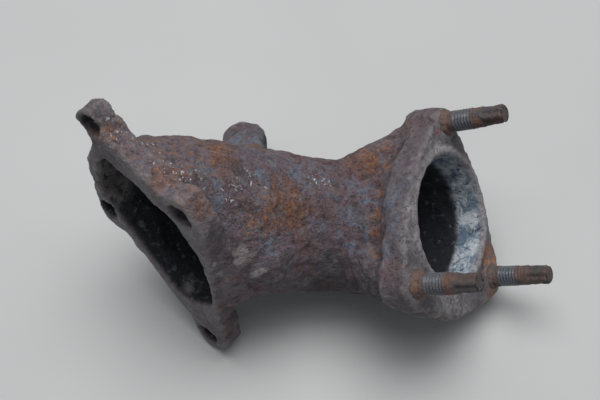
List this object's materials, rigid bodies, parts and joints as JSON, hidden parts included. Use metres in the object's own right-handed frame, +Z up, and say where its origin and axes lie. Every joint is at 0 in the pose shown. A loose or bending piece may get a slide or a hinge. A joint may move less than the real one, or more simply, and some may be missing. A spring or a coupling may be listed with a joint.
{
  "type": "exhaust outlet elbow",
  "caption": "Rusty cast iron exhaust elbow: long port flange, tapered hollow duct, foot, and a three-sided outlet flange with threaded studs.",
  "frame": {"origin": "centre of the outlet bore on the outlet flange's face", "axes": "+Z up with the part lying on its side on a flat surface, +X from the inlet flange towards the outlet flange"},
  "size_m": [0.2106, 0.1206, 0.1224],
  "materials": {
    "casting_iron": "rough",
    "stud_steel": "rough"
  },
  "bodies": {
    "root": {"casting": "casting_iron", "stud_top": "stud_steel", "stud_near": "stud_steel", "stud_far": "stud_steel"}
  },
  "joints": []
}
